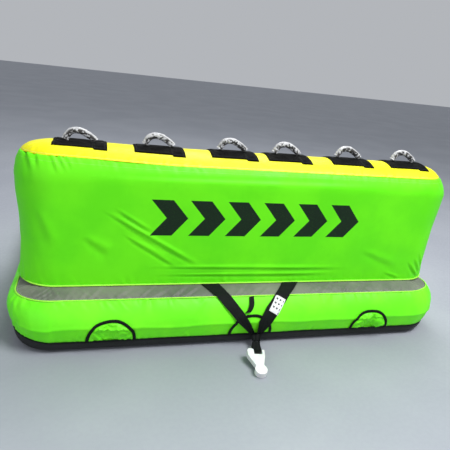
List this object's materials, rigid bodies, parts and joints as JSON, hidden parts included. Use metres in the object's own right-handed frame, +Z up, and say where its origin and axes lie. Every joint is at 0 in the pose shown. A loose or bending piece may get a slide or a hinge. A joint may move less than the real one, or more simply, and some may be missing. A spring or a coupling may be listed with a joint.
{
  "type": "towable tube",
  "caption": "Inflatable towable tube with a puffy base, a tall front wall with grab handles, valve flaps, and a webbing tow harness ending in a quick connector.",
  "frame": {"origin": "on the floor under the middle of the base", "axes": "+X to the right as seen from the tow side, tow side faces -Y, +Z up"},
  "size_m": [1.98, 1.8338, 0.8577],
  "materials": {
    "green_cover": "coated nylon, slight sheen",
    "grey_deck": "grey coated nylon",
    "black_underside": "black coated nylon",
    "yellow_cover": "coated nylon, slight sheen",
    "lime_piping": "welt piping",
    "black_binding": "binding tape",
    "bladder_pvc": "welded PVC film",
    "valve_plastic": "moulded plastic",
    "cap_plastic": "moulded plastic",
    "handle_pad_cloth": "neoprene-faced pad",
    "grip_cover": "ruched silver-grey nylon",
    "black_webbing": "woven webbing",
    "label_white": "satin label, blank",
    "connector_white": "moulded nylon",
    "steel_pin": "stainless pin",
    "eva_foam": "EVA foam",
    "zip_plastic": "coil teeth",
    "zip_metal": "lacquered zinc"
  },
  "bodies": {
    "tube": {"base_bladder_left": "bladder_pvc", "base_bladder_middle": "bladder_pvc", "base_bladder_right": "bladder_pvc", "base_bottom_panel": "black_underside", "base_deck_panel": "grey_deck", "base_flap_binding_middle": "black_binding", "base_flap_middle": "green_cover", "base_side_panel": "green_cover", "base_valves": "valve_plastic", "bottom_binding": "black_binding", "deck_piping": "lime_piping", "handle_1_pad": "handle_pad_cloth", "handle_2_pad": "handle_pad_cloth", "handle_3_pad": "handle_pad_cloth", "handle_4_pad": "handle_pad_cloth", "handle_5_pad": "handle_pad_cloth", "handle_6_pad": "handle_pad_cloth", "handle_anchors": "black_webbing", "harness_tails": "black_webbing", "kneeling_pads": "eva_foam", "wall_bladder": "bladder_pvc", "wall_piping": "lime_piping", "wall_side_panel": "green_cover", "wall_top_panel": "yellow_cover", "wall_valve": "valve_plastic", "zip_tape": "black_binding", "zip_teeth": "zip_plastic"},
    "harness": {"harness_strap_left": "black_webbing", "harness_strap_right": "black_webbing", "harness_label": "label_white", "harness_yoke": "black_webbing"},
    "lead": {"tow_lead": "black_webbing"},
    "connector": {"connector_body": "connector_white", "connector_pin": "steel_pin"},
    "tether": {"tether_tab": "black_webbing"},
    "handle_1": {"handle_1_grip": "grip_cover", "handle_1_core": "black_webbing"},
    "handle_2": {"handle_2_grip": "grip_cover", "handle_2_core": "black_webbing"},
    "handle_3": {"handle_3_grip": "grip_cover", "handle_3_core": "black_webbing"},
    "handle_4": {"handle_4_grip": "grip_cover", "handle_4_core": "black_webbing"},
    "handle_5": {"handle_5_grip": "grip_cover", "handle_5_core": "black_webbing"},
    "handle_6": {"handle_6_grip": "grip_cover", "handle_6_core": "black_webbing"},
    "valve_cap_left": {"base_valve_cap_left": "cap_plastic"},
    "valve_cap_middle": {"base_valve_cap_middle": "cap_plastic"},
    "valve_cap_right": {"base_valve_cap_right": "cap_plastic"},
    "wall_cap": {"wall_valve_cap": "cap_plastic"},
    "flap_left": {"base_flap_left": "green_cover", "base_flap_binding_left": "black_binding"},
    "flap_right": {"base_flap_right": "green_cover", "base_flap_binding_right": "black_binding"},
    "flap_wall": {"wall_flap": "green_cover", "wall_flap_binding": "black_binding"},
    "slider": {"zip_slider": "zip_metal"},
    "puller": {"zip_puller": "zip_metal"}
  },
  "joints": [
    {"name": "harness_lift", "type": "hinge", "parent": "tube", "child": "harness", "pos_m": [0.018, -0.677, 0.2425], "axis": [-1, 0, 0], "range_deg": [0, 80]},
    {"name": "lead_fold", "type": "hinge", "parent": "harness", "child": "lead", "pos_m": [0.02226, -0.82505, 0.0363], "axis": [-0.9703, 0.2419, 0], "range_deg": [0, 70]},
    {"name": "connector_pivot", "type": "hinge", "parent": "lead", "child": "connector", "pos_m": [0.0017, -0.90752, 0.037], "axis": [-0.9703, 0.2419, 0], "range_deg": [0, 95]},
    {"name": "tether_lift", "type": "hinge", "parent": "tube", "child": "tether", "pos_m": [0.003, -0.7475, 0.2125], "axis": [-1, 0, 0], "range_deg": [0, 80]},
    {"name": "handle_1_tilt", "type": "hinge", "parent": "tube", "child": "handle_1", "pos_m": [-0.717, -0.52, 0.8169], "axis": [1, 0, 0], "range_deg": [-40, 40], "stiffness_Nm_per_rad": 1.5},
    {"name": "handle_2_tilt", "type": "hinge", "parent": "tube", "child": "handle_2", "pos_m": [-0.408, -0.52, 0.8169], "axis": [1, 0, 0], "range_deg": [-40, 40], "stiffness_Nm_per_rad": 1.5},
    {"name": "handle_3_tilt", "type": "hinge", "parent": "tube", "child": "handle_3", "pos_m": [-0.092, -0.52, 0.8169], "axis": [1, 0, 0], "range_deg": [-40, 40], "stiffness_Nm_per_rad": 1.5},
    {"name": "handle_4_tilt", "type": "hinge", "parent": "tube", "child": "handle_4", "pos_m": [0.16, -0.52, 0.8169], "axis": [1, 0, 0], "range_deg": [-40, 40], "stiffness_Nm_per_rad": 1.5},
    {"name": "handle_5_tilt", "type": "hinge", "parent": "tube", "child": "handle_5", "pos_m": [0.468, -0.52, 0.8169], "axis": [1, 0, 0], "range_deg": [-40, 40], "stiffness_Nm_per_rad": 1.5},
    {"name": "handle_6_tilt", "type": "hinge", "parent": "tube", "child": "handle_6", "pos_m": [0.766, -0.52, 0.8169], "axis": [1, 0, 0], "range_deg": [-40, 40], "stiffness_Nm_per_rad": 1.5},
    {"name": "valve_cap_left_turn", "type": "hinge", "parent": "tube", "child": "valve_cap_left", "pos_m": [-0.587, -0.78, 0.108], "axis": [0, -1, 0], "range_deg": [0, 360]},
    {"name": "valve_cap_middle_turn", "type": "hinge", "parent": "tube", "child": "valve_cap_middle", "pos_m": [0, -0.78, 0.108], "axis": [0, -1, 0], "range_deg": [0, 360]},
    {"name": "valve_cap_right_turn", "type": "hinge", "parent": "tube", "child": "valve_cap_right", "pos_m": [0.587, -0.78, 0.108], "axis": [0, -1, 0], "range_deg": [0, 360]},
    {"name": "wall_cap_turn", "type": "hinge", "parent": "tube", "child": "wall_cap", "pos_m": [0.5, -0.39, 0.31], "axis": [0, 1, 0], "range_deg": [0, 360]},
    {"name": "flap_left_open", "type": "hinge", "parent": "tube", "child": "flap_left", "pos_m": [-0.587, -0.7872, 0.055], "axis": [1, 0, 0], "range_deg": [0, 85], "stiffness_Nm_per_rad": 0.2},
    {"name": "flap_right_open", "type": "hinge", "parent": "tube", "child": "flap_right", "pos_m": [0.587, -0.7872, 0.055], "axis": [1, 0, 0], "range_deg": [0, 85], "stiffness_Nm_per_rad": 0.2},
    {"name": "flap_wall_open", "type": "hinge", "parent": "tube", "child": "flap_wall", "pos_m": [0.5, -0.3696, 0.262], "axis": [-1, 0, 0], "range_deg": [0, 85], "stiffness_Nm_per_rad": 0.2},
    {"name": "zip_slide", "type": "slide", "parent": "tube", "child": "slider", "axis": [1, 0, 0], "range_m": [0, 1.18]},
    {"name": "puller_swing", "type": "hinge", "parent": "slider", "child": "puller", "pos_m": [-0.59, 0.8084, 0.11], "axis": [0, 0, 1], "range_deg": [0, 160]}
  ]
}
